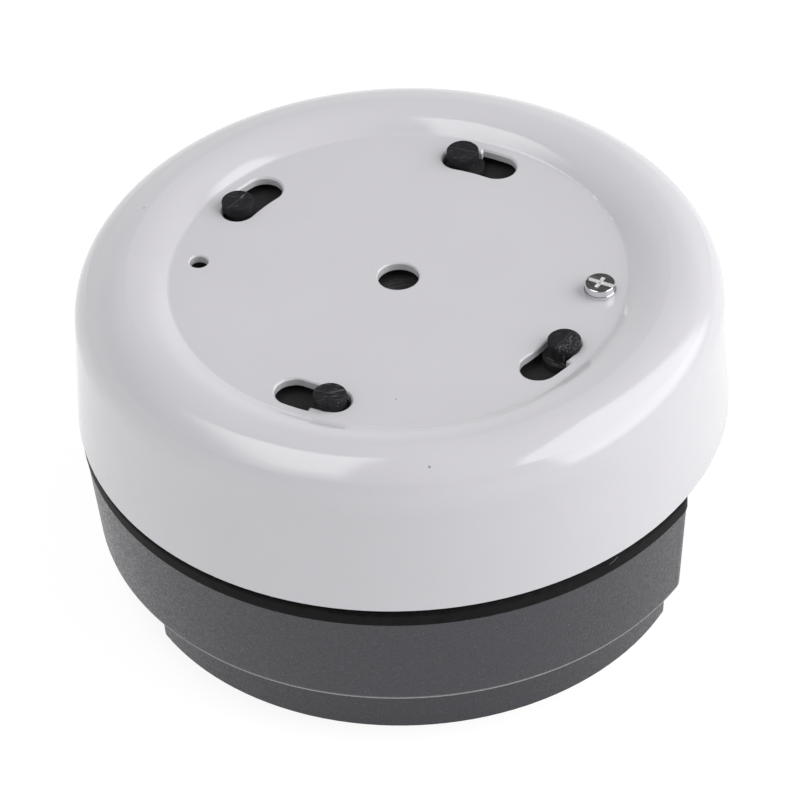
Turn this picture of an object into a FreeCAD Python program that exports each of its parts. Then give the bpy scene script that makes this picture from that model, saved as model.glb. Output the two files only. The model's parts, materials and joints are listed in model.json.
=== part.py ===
import FreeCAD, Part
import math
import os
from FreeCAD import Vector

# Electronic alarm bell, in millimetres.
# The origin is the centre of the back face, and +Z points from the wall to the gong's face.
# The flat side of the base, with the conduit entry, faces +X.

# Gong: one pressed sheet
GONG_RADIUS = 75.0
GONG_DEPTH = 33.5
GONG_SHEET = 2.0
CREST_RISE = 3.05
WALL_DRAFT = 2.7
CORNER_RADIUS = 8.8
CROWN_RADIUS = 14.0
SHOULDER_TILT = 40.6
ROLL_RADIUS = 15.9
CREASE_RADIUS = 1.5
CENTRE_HOLE_RADIUS = 4.7
LOCK_HOLE_RADIUS = 2.1
EDGE_BREAK = 0.3

# Studs, the keyholes that they hold, and the lock screw
STUD_AXIS = 105.8
STUD_HALF_ANGLE = 36.85
STUD_INSET = 6.4
HEAD_RADIUS = 3.75
HEAD_HEIGHT = 2.3
HEAD_CLEARANCE = 0.1
HEAD_CHAMFER = 0.25
NECK_RADIUS = 2.8
NECK_CLEARANCE = 0.9
ENTRY_CLEARANCE = 0.45
ENTRY_TURN = 11.3
LOCK_TURN = 0.9
SLOT_INSET = 0.7
LOCK_ANGLE = -10.8
LOCK_INSET = 5.8

# Base housing
RIM_OVERHANG = 0.77
BAND_HEIGHT = 24.6
BAND_DRAFT = 5.06
BAND_EDGE = 0.7
FLAT_SETBACK = 11.9
FLAT_DRAFT = 3.6
FLAT_CORNER = 5.0
FOOT_HEIGHT = 14.3
FOOT_STEP = 5.5
FOOT_DRAFT = 3.4
FOOT_FLAT_SETBACK = 8.1
FOOT_CORNER = 2.5
BASE_WALL = 2.8
FLOOR_THICK = 3.0
BACK_RECESS = 2.0
MIN_CORNER = 0.6

# Fixings and cable entries of the base
FIXING_SPACING_X = 60.0
FIXING_SPACING_Y = 90.0
FIXING_SLOT_WIDTH = 5.2
FIXING_SLOT_LENGTH = 9.0
FIXING_PAD_MARGIN = 3.2
FIXING_PAD_RISE = 1.0
ENTRY_RADIUS = 10.2
ENTRY_SEAT_RADIUS = 11.3
ENTRY_SEAT_DEPTH = 0.25
ENTRY_WALL = 4.0
ENTRY_BOSS_MARGIN = 1.7
REAR_ENTRY_RADIUS = 9.0
RIB_THICK = 1.6
BACK_RIBS = 8

# Sounder chassis
FLANGE_THICK = 4.0
FLANGE_PROUD = 0.25
FLANGE_ROUND = 1.2
FLANGE_LOWER_ROUND = 0.4
SOUND_GAP = 1.1
TOWER_CLEARANCE = 2.0
TOWER_MARGIN = 1.6
TOWER_DRAFT = 3.0
TOWER_WALL = 2.5
TOWER_ROUND = 1.5
PLATE_THICK = 2.5
TOWER_RIBS = 12
TOWER_RIB_DEPTH = 5.0
TOWER_RIB_HEIGHT = 22.0
STUD_PAD_RADIUS = 5.0
SKIRT_DEPTH = 3.0
SKIRT_WALL = 1.6
SKIRT_CLEARANCE = 0.5
SEAL_INSET = 0.7
SEAL_WIDTH = 1.6
SEAL_DEPTH = 1.4
SEAL_CLEARANCE = 0.1
SOUND_RING_RADII = (15.5, 21.0, 26.5)
SOUND_RING_SLOTS = (5, 7, 9)
SOUND_SLOT_SPANS = (54.0, 39.0, 31.0)
SOUND_SLOT_WIDTH = 3.0

# Screws and inserts
CHASSIS_SCREW_INSET = 12.2
CHASSIS_SCREW_START = 45.0
SCREW_COUNT = 4
PILLAR_RADIUS = 4.5
M4_RADIUS = 1.95
THREAD_CLEARANCE = 0.05
PASS_CLEARANCE = 0.25
INSERT_RADIUS = 2.8
INSERT_LENGTH = 8.0
PAN_HEAD_RADIUS = 3.9
PAN_HEAD_HEIGHT = 2.6
CHASSIS_SCREW_GRIP = 7.0
CHEESE_HEAD_RADIUS = 3.5
CHEESE_HEAD_HEIGHT = 2.6
CHEESE_SLOT_WIDTH = 1.1
CHEESE_SLOT_DEPTH = 1.1
LOCK_SCREW_GRIP = 6.5
LOCK_SCREW_TURN = -52.0
LOCK_WASHER_RADIUS = 3.65
LOCK_WASHER_THICK = 0.8
LOCK_BOSS_RADIUS = 4.4
SMALL_SCREW_RADIUS = 1.25
SMALL_HEAD_RADIUS = 2.7
SMALL_HEAD_HEIGHT = 1.9
SMALL_SCREW_GRIP = 6.0

# Driver, hung under the chassis plate
DRIVER_CLEARANCE = 6.8
SEAT_RING_DEPTH = 4.0
SEAT_RING_WIDTH = 8.5
GASKET_THICK = 1.0
GASKET_WIDTH = 5.4
FRAME_SHEET = 1.0
FRAME_LIP = 8.0
FRAME_DEPTH = 12.0
FRAME_SHELF_RISE = 2.0
FRAME_WINDOWS = 6
CONE_THICK = 0.5
SURROUND_WIDTH = 4.0
SURROUND_RISE = 1.7
CONE_DEPTH = 7.5
DOME_RISE = 3.0
COIL_RADIUS = 12.0
FORMER_THICK = 0.3
WINDING_THICK = 0.5
WINDING_HEIGHT = 5.0
MAGNET_GAP = 0.6
MAGNET_GAP_OUTER = 0.4
TOP_PLATE_RADIUS = 26.0
TOP_PLATE_THICK = 4.0
MAGNET_RADIUS = 29.0
MAGNET_BORE = 15.0
MAGNET_THICK = 8.0
YOKE_THICK = 4.0
YOKE_CHAMFER = 1.0
SPIDER_THICK = 0.4
SPIDER_WAVE = 0.8
TAG_ANGLE = 175.0

# Circuit board, hung on the chassis posts
BOARD_HEIGHT = 24.0
BOARD_THICK = 1.6
BOARD_MARGIN = 3.5
GLAND_ROOM = 12.6
POST_INSET = 3.2
POST_RADIUS = 3.5
POST_START = 40.0
POST_WEB = 3.0
TERMINALS = 6
TERMINAL_PITCH = 5.08
BLOCK_DEPTH = 11.0
BLOCK_HEIGHT = 12.0
BLOCK_INSET = 26.0
BLOCK_END = 0.7
CAGE_WALL = 0.6
CAGE_FIT = 0.1
CAPACITOR_RADIUS = 5.0
CAPACITOR_HEIGHT = 16.0
CAPACITOR_INSET = 13.5
CAPACITOR_ANGLES = (98.0, 82.0)
INDUCTOR_RADIUS = 6.0
INDUCTOR_HEIGHT = 9.0
INDUCTOR_INSET = 11.2
INDUCTOR_ANGLE = 196.7
AMPLIFIER_INSET = 14.0
AMPLIFIER_ANGLE = 119.2
CONTROLLER_INSET = 10.0
CONTROLLER_Y = 6.0
LEAD_RADIUS = 0.6
LEAD_BEND = 3.5
LEAD_SPACING = 2.54
CONNECTOR_HEIGHT = 6.0
PIN_SIDE = 0.64
PIN_HEIGHT = 8.0
HEADER_PITCH = 2.54
HEADER_COLUMNS = 4
HEADER_INSET = 10.0
HEADER_ANGLE = 62.2
JUMPER_COLUMNS = (0, 2)

# Heights and radii that follow
SEAM_Z = FOOT_HEIGHT + BAND_HEIGHT
FLANGE_TOP = SEAM_Z + FLANGE_THICK
RIM_Z = FLANGE_TOP + SOUND_GAP
FACE_Z = RIM_Z + GONG_DEPTH
GONG_UNDER = FACE_Z - GONG_SHEET
CREST_Z = FACE_Z + CREST_RISE
TOWER_TOP = GONG_UNDER - TOWER_CLEARANCE
PLATE_UNDER = TOWER_TOP - PLATE_THICK
FLOOR_TOP = BACK_RECESS + FLOOR_THICK
BASE_RADIUS = GONG_RADIUS - RIM_OVERHANG
CHASSIS_SCREW_CIRCLE = BASE_RADIUS - CHASSIS_SCREW_INSET
BOARD_TOP = BOARD_HEIGHT + BOARD_THICK
SEAT_Z = PLATE_UNDER - SEAT_RING_DEPTH
FRAME_TOP = SEAT_Z - GASKET_THICK
FRAME_FLOOR = FRAME_TOP - FRAME_DEPTH
YOKE_UNDER = FRAME_FLOOR - TOP_PLATE_THICK - MAGNET_THICK - YOKE_THICK
SPINDLE = Vector(0, 0, 1)


def polar(radius, degrees, z=0.0):
    angle = math.radians(degrees)
    return Vector(radius * math.cos(angle), radius * math.sin(angle), z)


def around(count, start):
    return [start + 360.0 * index / count for index in range(count)]


def disc(radius, z0, z1, centre=Vector(0, 0, 0)):
    return Part.makeCylinder(radius, z1 - z0, Vector(centre.x, centre.y, z0))


def ring(outer, inner, z0, z1, centre=Vector(0, 0, 0)):
    return disc(outer, z0, z1, centre).cut(disc(inner, z0 - 1, z1 + 1, centre))


def block(x0, x1, y0, y1, z0, z1):
    return Part.makeBox(x1 - x0, y1 - y0, z1 - z0, Vector(x0, y0, z0))


def turned(shape, degrees):
    copy = shape.copy()
    copy.rotate(Vector(0, 0, 0), SPINDLE, degrees)
    return copy


def moved(shape, place):
    copy = shape.copy()
    copy.translate(place)
    return copy


def line(r0, z0, r1, z1):
    return Part.LineSegment(Vector(r0, 0, z0), Vector(r1, 0, z1)).toShape()


def arc(centre_r, centre_z, radius, start, end):
    """Arc of a section in the XZ plane, with its angles measured from +X towards +Z."""
    points = []
    for degrees in (start, (start + end) / 2, end):
        angle = math.radians(degrees)
        reach = Vector(radius * math.cos(angle), 0, radius * math.sin(angle))
        points.append(Vector(centre_r, 0, centre_z) + reach)
    return Part.Arc(*points).toShape()


def revolved(edges):
    section = Part.Face(Part.Wire(edges))
    return section.revolve(Vector(0, 0, 0), SPINDLE, 360)


def revolved_outline(points):
    closed = points + [points[0]]
    return revolved([line(*a, *b) for a, b in zip(closed, closed[1:])])


def extruded(points, direction):
    wire = Part.makePolygon(points + [points[0]])
    return Part.Face(wire).extrude(direction)


def arc_slot_outline(radius, width, start, end, z0):
    """Outline of a slot that follows a circle about the Z axis, with round ends."""
    half = width / 2
    outer = radius + half
    inner = radius - half
    middle = (start + end) / 2
    end_cap = polar(radius, end, z0) + polar(half, end + 90)
    start_cap = polar(radius, start, z0) + polar(half, start - 90)
    edges = [
        Part.Arc(polar(outer, start, z0), polar(outer, middle, z0), polar(outer, end, z0)).toShape(),
        Part.Arc(polar(outer, end, z0), end_cap, polar(inner, end, z0)).toShape(),
        Part.Arc(polar(inner, end, z0), polar(inner, middle, z0), polar(inner, start, z0)).toShape(),
        Part.Arc(polar(inner, start, z0), start_cap, polar(outer, start, z0)).toShape(),
    ]
    return Part.Wire(edges)


def arc_slot(radius, width, start, end, z0, z1):
    outline = arc_slot_outline(radius, width, start, end, z0)
    return Part.Face(outline).extrude(Vector(0, 0, z1 - z0))


def flatted_outline(outline, z, both_sides=False):
    """Circle cut by a flat at +X, and at -X too, with round corners where the flat meets it."""
    radius, flat, corner = outline
    hub_x = flat - corner
    hub_y = math.sqrt((radius - corner) ** 2 - hub_x ** 2)
    half_turn = math.atan2(hub_y, hub_x) / 2
    reach = radius / (radius - corner)
    join_x = hub_x * reach
    join_y = hub_y * reach
    bend_x = hub_x + corner * math.cos(half_turn)
    bend_y = hub_y + corner * math.sin(half_turn)

    def bow(a, b, c):
        return Part.Arc(Vector(*a, z), Vector(*b, z), Vector(*c, z)).toShape()

    edges = [
        Part.LineSegment(Vector(flat, -hub_y, z), Vector(flat, hub_y, z)).toShape(),
        bow((flat, hub_y), (bend_x, bend_y), (join_x, join_y)),
    ]
    if both_sides:
        edges += [
            bow((join_x, join_y), (0, radius), (-join_x, join_y)),
            bow((-join_x, join_y), (-bend_x, bend_y), (-flat, hub_y)),
            Part.LineSegment(Vector(-flat, hub_y, z), Vector(-flat, -hub_y, z)).toShape(),
            bow((-flat, -hub_y), (-bend_x, -bend_y), (-join_x, -join_y)),
            bow((-join_x, -join_y), (0, -radius), (join_x, -join_y)),
        ]
    else:
        edges.append(bow((join_x, join_y), (-radius, 0), (join_x, -join_y)))
    edges.append(bow((join_x, -join_y), (bend_x, -bend_y), (flat, -hub_y)))
    return Part.Wire(edges)


def flatted_block(z0, low, z1, high, both_sides=False):
    wires = [flatted_outline(low, z0, both_sides), flatted_outline(high, z1, both_sides)]
    return Part.makeLoft(wires, True, True)


def inset(outline, distance):
    radius, flat, corner = outline
    return radius - distance, flat - distance, max(corner - distance, MIN_CORNER)


def band_outline(z):
    drop = SEAM_Z - z
    radius = BASE_RADIUS - drop * math.tan(math.radians(BAND_DRAFT))
    flat = BASE_RADIUS - FLAT_SETBACK - drop * math.tan(math.radians(FLAT_DRAFT))
    return radius, flat, FLAT_CORNER


def foot_outline(z):
    top_radius = band_outline(FOOT_HEIGHT)[0] - FOOT_STEP
    radius = top_radius - (FOOT_HEIGHT - z) * math.tan(math.radians(FOOT_DRAFT))
    return radius, radius - FOOT_FLAT_SETBACK, FOOT_CORNER


def edges_at(shape, z):
    flat = []
    for edge in shape.Edges:
        box = edge.BoundBox
        if abs(box.ZMin - z) < 1e-4 and abs(box.ZMax - z) < 1e-4:
            flat.append(edge)
    return flat


def gong_section():
    """Centres of the section's arcs, and the radius where the flat face begins."""
    draft = math.radians(WALL_DRAFT)
    tilt = math.radians(SHOULDER_TILT)
    spare = CROWN_RADIUS - CORNER_RADIUS
    corner_z = CREST_Z - CROWN_RADIUS + spare * math.cos(tilt)
    wall_reach = GONG_RADIUS * math.cos(draft) + RIM_Z * math.sin(draft)
    corner_r = (wall_reach - CORNER_RADIUS - corner_z * math.sin(draft)) / math.cos(draft)
    crest_r = corner_r - spare * math.sin(tilt)
    crease_rise = FACE_Z + CREASE_RADIUS - (CREST_Z - ROLL_RADIUS)
    crease_r = crest_r - math.sqrt((ROLL_RADIUS + CREASE_RADIUS) ** 2 - crease_rise ** 2)
    return corner_r, corner_z, crest_r, crease_r


CORNER_R, CORNER_Z, CREST_R, FACE_EDGE = gong_section()
STUD_CIRCLE = FACE_EDGE - STUD_INSET
LOCK_CIRCLE = FACE_EDGE - LOCK_INSET
LOCK_ANGLES = (LOCK_ANGLE, LOCK_ANGLE + 180)
STUD_ANGLES = [STUD_AXIS + side + turn
               for turn in (0, 180) for side in (-STUD_HALF_ANGLE, STUD_HALF_ANGLE)]
SCREW_ANGLES = around(SCREW_COUNT, CHASSIS_SCREW_START)
POST_ANGLES = around(SCREW_COUNT, POST_START)
TOWER_RADIUS = FACE_EDGE + TOWER_MARGIN
TOWER_INNER = TOWER_RADIUS - TOWER_WALL + (TOWER_TOP - SEAM_Z) * math.tan(math.radians(TOWER_DRAFT))
POST_CIRCLE = TOWER_INNER - POST_INSET
DRIVER_RADIUS = POST_CIRCLE - POST_RADIUS - DRIVER_CLEARANCE
DRIVER_SCREW_CIRCLE = DRIVER_RADIUS - GASKET_WIDTH / 2
SEAT_OUTER = DRIVER_RADIUS + 1.0
BOARD_RADIUS = POST_CIRCLE + BOARD_MARGIN
BLOCK_BACK_Y = BLOCK_INSET - BOARD_RADIUS


def gong_skin(depth):
    """Edges of the sheet's outer side, or of a skin that lies this deep in it, from face to rim."""
    draft = math.radians(WALL_DRAFT)
    roll_z = CREST_Z - ROLL_RADIUS
    crown_z = CREST_Z - CROWN_RADIUS
    crease_z = FACE_Z + CREASE_RADIUS
    shoulder = 90 - SHOULDER_TILT
    crease_end = math.degrees(math.atan2(crease_z - roll_z, FACE_EDGE - CREST_R))
    corner = CORNER_RADIUS - depth
    wall_top = (CORNER_R + corner * math.cos(draft), CORNER_Z + corner * math.sin(draft))
    wall_foot = (GONG_RADIUS - depth / math.cos(draft), RIM_Z)
    edges = [
        line(0, FACE_Z - depth, FACE_EDGE, FACE_Z - depth),
        arc(FACE_EDGE, crease_z, CREASE_RADIUS + depth, -90, crease_end - 180),
        arc(CREST_R, roll_z, ROLL_RADIUS - depth, crease_end, 90),
        arc(CREST_R, crown_z, CROWN_RADIUS - depth, 90, shoulder),
        arc(CORNER_R, CORNER_Z, corner, shoulder, WALL_DRAFT),
        line(*wall_top, *wall_foot),
    ]
    return edges, wall_foot


def bevelled_hole(radius, place):
    """Hole through the sheet whose edge on the face is broken by a small bevel."""
    start = place + Vector(0, 0, FACE_Z - EDGE_BREAK)
    flare = Part.makeCone(radius, radius + 2 * EDGE_BREAK, 2 * EDGE_BREAK, start)
    return disc(radius, GONG_UNDER - 1, FACE_Z, place).fuse(flare)


def keyhole(stud_angle):
    """Entry hole for a stud's head, and the narrower run that its neck turns into."""
    entry_angle = stud_angle - ENTRY_TURN
    centre_line = STUD_CIRCLE - SLOT_INSET
    width = 2 * (NECK_RADIUS + NECK_CLEARANCE)
    ends = (entry_angle, stud_angle + LOCK_TURN)
    run = arc_slot(centre_line, width, *ends, GONG_UNDER - 1, FACE_Z)
    flare = Part.makeLoft([
        arc_slot_outline(centre_line, width, *ends, FACE_Z - EDGE_BREAK),
        arc_slot_outline(centre_line, width + 4 * EDGE_BREAK, *ends, FACE_Z + EDGE_BREAK),
    ], True, True)
    entry = bevelled_hole(HEAD_RADIUS + ENTRY_CLEARANCE, polar(STUD_CIRCLE, entry_angle))
    return [run, flare, entry]


def make_gong():
    outer, outer_foot = gong_skin(0)
    inner, inner_foot = gong_skin(GONG_SHEET)
    rim = line(*outer_foot, *inner_foot)
    hub = line(0, FACE_Z, 0, GONG_UNDER)
    shell = revolved(outer + [rim] + inner[::-1] + [hub])
    cuts = [bevelled_hole(CENTRE_HOLE_RADIUS, Vector(0, 0, 0))]
    cuts += [bevelled_hole(LOCK_HOLE_RADIUS, polar(LOCK_CIRCLE, angle)) for angle in LOCK_ANGLES]
    for angle in STUD_ANGLES:
        cuts += keyhole(angle)
    return shell.cut(cuts)


def cross_recess(top, reach, depth, width):
    """Two crossed tapered blades, sunk from the height top."""
    blade = extruded([
        Vector(-reach, -width / 2, top + 0.1),
        Vector(reach, -width / 2, top + 0.1),
        Vector(reach * 0.35, -width / 2, top - depth),
        Vector(-reach * 0.35, -width / 2, top - depth),
    ], Vector(0, width, 0))
    return blade.fuse(turned(blade, 90))


def pan_screw(head_radius, head_height, shank_radius, length):
    """Screw with a domed head and a cross recess; its head sits on z = 0 and its shank points down."""
    crown = head_radius * 0.45
    outline = [
        line(0, -length, shank_radius * 0.7, -length),
        line(shank_radius * 0.7, -length, shank_radius, shank_radius - length),
        line(shank_radius, shank_radius - length, shank_radius, 0),
        line(shank_radius, 0, head_radius, 0),
        line(head_radius, 0, head_radius, head_height - crown),
        arc(head_radius - crown, head_height - crown, crown, 0, 90),
        line(head_radius - crown, head_height, 0, head_height),
        line(0, head_height, 0, -length),
    ]
    screw = revolved(outline)
    return screw.cut(cross_recess(head_height, head_radius * 0.5, head_height * 0.6, head_radius * 0.24))


def make_lock_screw():
    seat = FACE_Z + LOCK_WASHER_THICK
    length = LOCK_WASHER_THICK + GONG_SHEET + LOCK_SCREW_GRIP
    lip = 0.4
    screw = revolved([
        line(0, -length, M4_RADIUS * 0.7, -length),
        line(M4_RADIUS * 0.7, -length, M4_RADIUS, M4_RADIUS * 0.4 - length),
        line(M4_RADIUS, M4_RADIUS * 0.4 - length, M4_RADIUS, 0),
        line(M4_RADIUS, 0, CHEESE_HEAD_RADIUS, 0),
        line(CHEESE_HEAD_RADIUS, 0, CHEESE_HEAD_RADIUS, CHEESE_HEAD_HEIGHT - lip),
        arc(CHEESE_HEAD_RADIUS - lip, CHEESE_HEAD_HEIGHT - lip, lip, 0, 90),
        line(CHEESE_HEAD_RADIUS - lip, CHEESE_HEAD_HEIGHT, 0, CHEESE_HEAD_HEIGHT),
        line(0, CHEESE_HEAD_HEIGHT, 0, -length),
    ])
    slot = block(-CHEESE_HEAD_RADIUS, CHEESE_HEAD_RADIUS, -CHEESE_SLOT_WIDTH / 2, CHEESE_SLOT_WIDTH / 2,
                 CHEESE_HEAD_HEIGHT - CHEESE_SLOT_DEPTH, CHEESE_HEAD_HEIGHT + 1)
    cross = cross_recess(CHEESE_HEAD_HEIGHT, 2.1, 1.8, 0.95)
    screw = screw.cut([slot, cross])
    return moved(turned(screw, LOCK_SCREW_TURN), polar(LOCK_CIRCLE, LOCK_ANGLE, seat))


def make_lock_washer():
    return ring(LOCK_WASHER_RADIUS, LOCK_HOLE_RADIUS, FACE_Z, FACE_Z + LOCK_WASHER_THICK,
                polar(LOCK_CIRCLE, LOCK_ANGLE))


def insert_at(top, place):
    """Knurled insert, drawn as two bands with a groove between them."""
    groove = 0.4
    third = INSERT_LENGTH / 3
    outline = [
        (M4_RADIUS + THREAD_CLEARANCE, top - INSERT_LENGTH),
        (INSERT_RADIUS, top - INSERT_LENGTH),
        (INSERT_RADIUS, top - 2 * third),
        (INSERT_RADIUS - groove, top - 2 * third),
        (INSERT_RADIUS - groove, top - third),
        (INSERT_RADIUS, top - third),
        (INSERT_RADIUS, top),
        (M4_RADIUS + THREAD_CLEARANCE, top),
    ]
    return moved(revolved_outline(outline), Vector(place.x, place.y, 0))


def make_lock_insert():
    return insert_at(GONG_UNDER, polar(LOCK_CIRCLE, LOCK_ANGLE))


def entry_seat():
    """Centre of the conduit entry's seat on the flat side."""
    z = FOOT_HEIGHT + BAND_HEIGHT / 2
    low = band_outline(z - ENTRY_SEAT_RADIUS)[1]
    return Vector(low - ENTRY_SEAT_DEPTH, 0, z)


def along_x(radius, x0, x1, z):
    return Part.makeCylinder(radius, x1 - x0, Vector(x0, 0, z), Vector(1, 0, 0))


def fixing_places():
    half_x = FIXING_SPACING_X / 2
    half_y = FIXING_SPACING_Y / 2
    return [Vector(x, y, 0) for x in (-half_x, half_x) for y in (-half_y, half_y)]


def fixing_slot(place):
    half_width = FIXING_SLOT_WIDTH / 2
    run = FIXING_SLOT_LENGTH / 2 - half_width
    top = FLOOR_TOP + FIXING_PAD_RISE + 1
    middle = block(place.x - run, place.x + run, place.y - half_width, place.y + half_width, -1, top)
    ends = [disc(half_width, -1, top, place + Vector(side * run, 0, 0)) for side in (-1, 1)]
    return middle.fuse(ends)


def make_base_housing():
    band = flatted_block(FOOT_HEIGHT, band_outline(FOOT_HEIGHT), SEAM_Z, band_outline(SEAM_Z))
    band = band.makeFillet(BAND_EDGE, edges_at(band, FOOT_HEIGHT))
    ledge = FOOT_HEIGHT + BASE_WALL
    foot = flatted_block(0, foot_outline(0), ledge, foot_outline(ledge), True)
    outside = band.fuse(foot)

    upper = flatted_block(ledge, inset(band_outline(ledge), BASE_WALL),
                          SEAM_Z + 1, inset(band_outline(SEAM_Z + 1), BASE_WALL))
    lower = flatted_block(FLOOR_TOP, inset(foot_outline(FLOOR_TOP), BASE_WALL),
                          ledge + 1, inset(foot_outline(ledge + 1), BASE_WALL), True)
    recess = flatted_block(-1, inset(foot_outline(-1), BASE_WALL),
                           BACK_RECESS, inset(foot_outline(BACK_RECESS), BASE_WALL), True)
    housing = outside.cut([upper, lower, recess])

    seat = entry_seat()
    boss_radius = ENTRY_RADIUS + ENTRY_BOSS_MARGIN
    added = [disc(PILLAR_RADIUS, BACK_RECESS, SEAM_Z, polar(CHASSIS_SCREW_CIRCLE, angle))
             for angle in SCREW_ANGLES]
    added.append(along_x(boss_radius, seat.x - ENTRY_WALL, seat.x + ENTRY_WALL, seat.z))
    pad_radius = FIXING_SLOT_LENGTH / 2 + FIXING_PAD_MARGIN
    added += [disc(pad_radius, 0, FLOOR_TOP + FIXING_PAD_RISE, place) for place in fixing_places()]
    added.append(ring(REAR_ENTRY_RADIUS + 6.5, REAR_ENTRY_RADIUS + 4.5, 0, BACK_RECESS + 0.5))
    rib = block(REAR_ENTRY_RADIUS + 5.5, BASE_RADIUS, -RIB_THICK / 2, RIB_THICK / 2, 0, BACK_RECESS + 0.5)
    added += [turned(rib, angle) for angle in around(BACK_RIBS, 180.0 / BACK_RIBS)]
    inside = [piece.common(outside) for piece in added]
    housing = housing.fuse(inside)

    reach = 2 * ENTRY_WALL
    holes = [
        along_x(ENTRY_SEAT_RADIUS, seat.x, seat.x + reach, seat.z),
        along_x(ENTRY_RADIUS, seat.x - reach, seat.x + reach, seat.z),
        disc(REAR_ENTRY_RADIUS, -1, FLOOR_TOP + 1),
    ]
    holes += [fixing_slot(place) for place in fixing_places()]
    holes += [disc(INSERT_RADIUS, SEAM_Z - INSERT_LENGTH, SEAM_Z + 1, polar(CHASSIS_SCREW_CIRCLE, angle))
              for angle in SCREW_ANGLES]
    depth = CHASSIS_SCREW_GRIP + 3
    holes += [disc(M4_RADIUS + PASS_CLEARANCE, SEAM_Z - depth, SEAM_Z, polar(CHASSIS_SCREW_CIRCLE, angle))
              for angle in SCREW_ANGLES]
    return housing.cut(holes).removeSplitter()


def make_chassis_inserts():
    return Part.makeCompound([insert_at(SEAM_Z, polar(CHASSIS_SCREW_CIRCLE, angle))
                              for angle in SCREW_ANGLES])


def make_rear_grommet():
    lip = 2.5
    wall = 2.0
    membrane = 0.8
    bottom = BACK_RECESS - 1.2
    top = FLOOR_TOP + 1.4
    radius = REAR_ENTRY_RADIUS
    return revolved_outline([
        (0, FLOOR_TOP - membrane),
        (radius - wall, FLOOR_TOP - membrane),
        (radius - wall, bottom),
        (radius + lip, bottom),
        (radius + lip, BACK_RECESS),
        (radius, BACK_RECESS),
        (radius, FLOOR_TOP),
        (radius + lip, FLOOR_TOP),
        (radius + lip * 0.6, top),
        (radius - wall, top),
        (radius - wall, FLOOR_TOP),
        (0, FLOOR_TOP),
    ])


def seal_path(gap):
    outline = band_outline(SEAM_Z)
    outer = inset(outline, SEAL_INSET + gap)
    inner = inset(outline, SEAL_INSET + SEAL_WIDTH - gap)
    top = SEAM_Z + SEAL_DEPTH
    return flatted_block(SEAM_Z, outer, top, outer).cut(flatted_block(SEAM_Z - 1, inner, top + 1, inner))


def make_chassis_seal():
    return seal_path(SEAL_CLEARANCE)


def chassis_flange():
    outline = inset(band_outline(SEAM_Z), -FLANGE_PROUD)
    flange = flatted_block(SEAM_Z, outline, FLANGE_TOP, outline)
    flange = flange.makeFillet(FLANGE_ROUND, edges_at(flange, FLANGE_TOP))
    return flange.makeFillet(FLANGE_LOWER_ROUND, edges_at(flange, SEAM_Z))


def chassis_skirt():
    """Lip that sits inside the base's rim, open where the conduit entry's boss stands."""
    outer = inset(band_outline(SEAM_Z), BASE_WALL + SKIRT_CLEARANCE)
    inner = inset(outer, SKIRT_WALL)
    low = SEAM_Z - SKIRT_DEPTH
    skirt = flatted_block(low, outer, SEAM_Z + 1, outer).cut(flatted_block(low - 1, inner, SEAM_Z + 2, inner))
    half_gap = ENTRY_RADIUS + ENTRY_BOSS_MARGIN + 1
    return skirt.cut(block(0, BASE_RADIUS, -half_gap, half_gap, low - 1, SEAM_Z))


def tower_cone(shrink, z0, z1):
    slope = math.tan(math.radians(TOWER_DRAFT))
    low = TOWER_RADIUS - shrink + (TOWER_TOP - z0) * slope
    high = TOWER_RADIUS - shrink + (TOWER_TOP - z1) * slope
    return Part.makeCone(low, high, z1 - z0, Vector(0, 0, z0))


def tower_rib():
    """Gusset between the tower's side and the flange."""
    half = RIB_THICK / 2
    root = TOWER_INNER + 0.5
    foot = TOWER_INNER + TOWER_WALL + TOWER_RIB_DEPTH
    return extruded([
        Vector(root, -half, FLANGE_TOP - 0.5),
        Vector(foot, -half, FLANGE_TOP - 0.5),
        Vector(foot, -half, FLANGE_TOP + 1.0),
        Vector(TOWER_INNER + 1.0, -half, FLANGE_TOP + TOWER_RIB_HEIGHT),
        Vector(root - 1.0, -half, FLANGE_TOP + TOWER_RIB_HEIGHT),
    ], Vector(0, RIB_THICK, 0))


def stud(angle):
    place = polar(STUD_CIRCLE, angle)
    pad = disc(STUD_PAD_RADIUS, TOWER_TOP - 0.5, GONG_UNDER, place)
    neck = disc(NECK_RADIUS, GONG_UNDER - 0.5, FACE_Z + HEAD_CLEARANCE, place)
    head = disc(HEAD_RADIUS, FACE_Z + HEAD_CLEARANCE, FACE_Z + HEAD_HEIGHT, place)
    head = head.makeChamfer(HEAD_CHAMFER, edges_at(head, FACE_Z + HEAD_HEIGHT))
    return pad.fuse([neck, head])


def board_post(angle):
    post = disc(POST_RADIUS, BOARD_TOP, PLATE_UNDER + 0.5, Vector(POST_CIRCLE, 0, 0))
    web = block(POST_CIRCLE, TOWER_INNER + 0.5, -POST_WEB / 2, POST_WEB / 2, SEAM_Z, PLATE_UNDER + 0.5)
    return turned(post.fuse(web), angle)


def sound_slots():
    slots = []
    for radius, count, span in zip(SOUND_RING_RADII, SOUND_RING_SLOTS, SOUND_SLOT_SPANS):
        for angle in around(count, 90.0):
            slots.append(arc_slot(radius, SOUND_SLOT_WIDTH, angle - span / 2, angle + span / 2,
                                  PLATE_UNDER - 1, TOWER_TOP + 1))
    return slots


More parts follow.
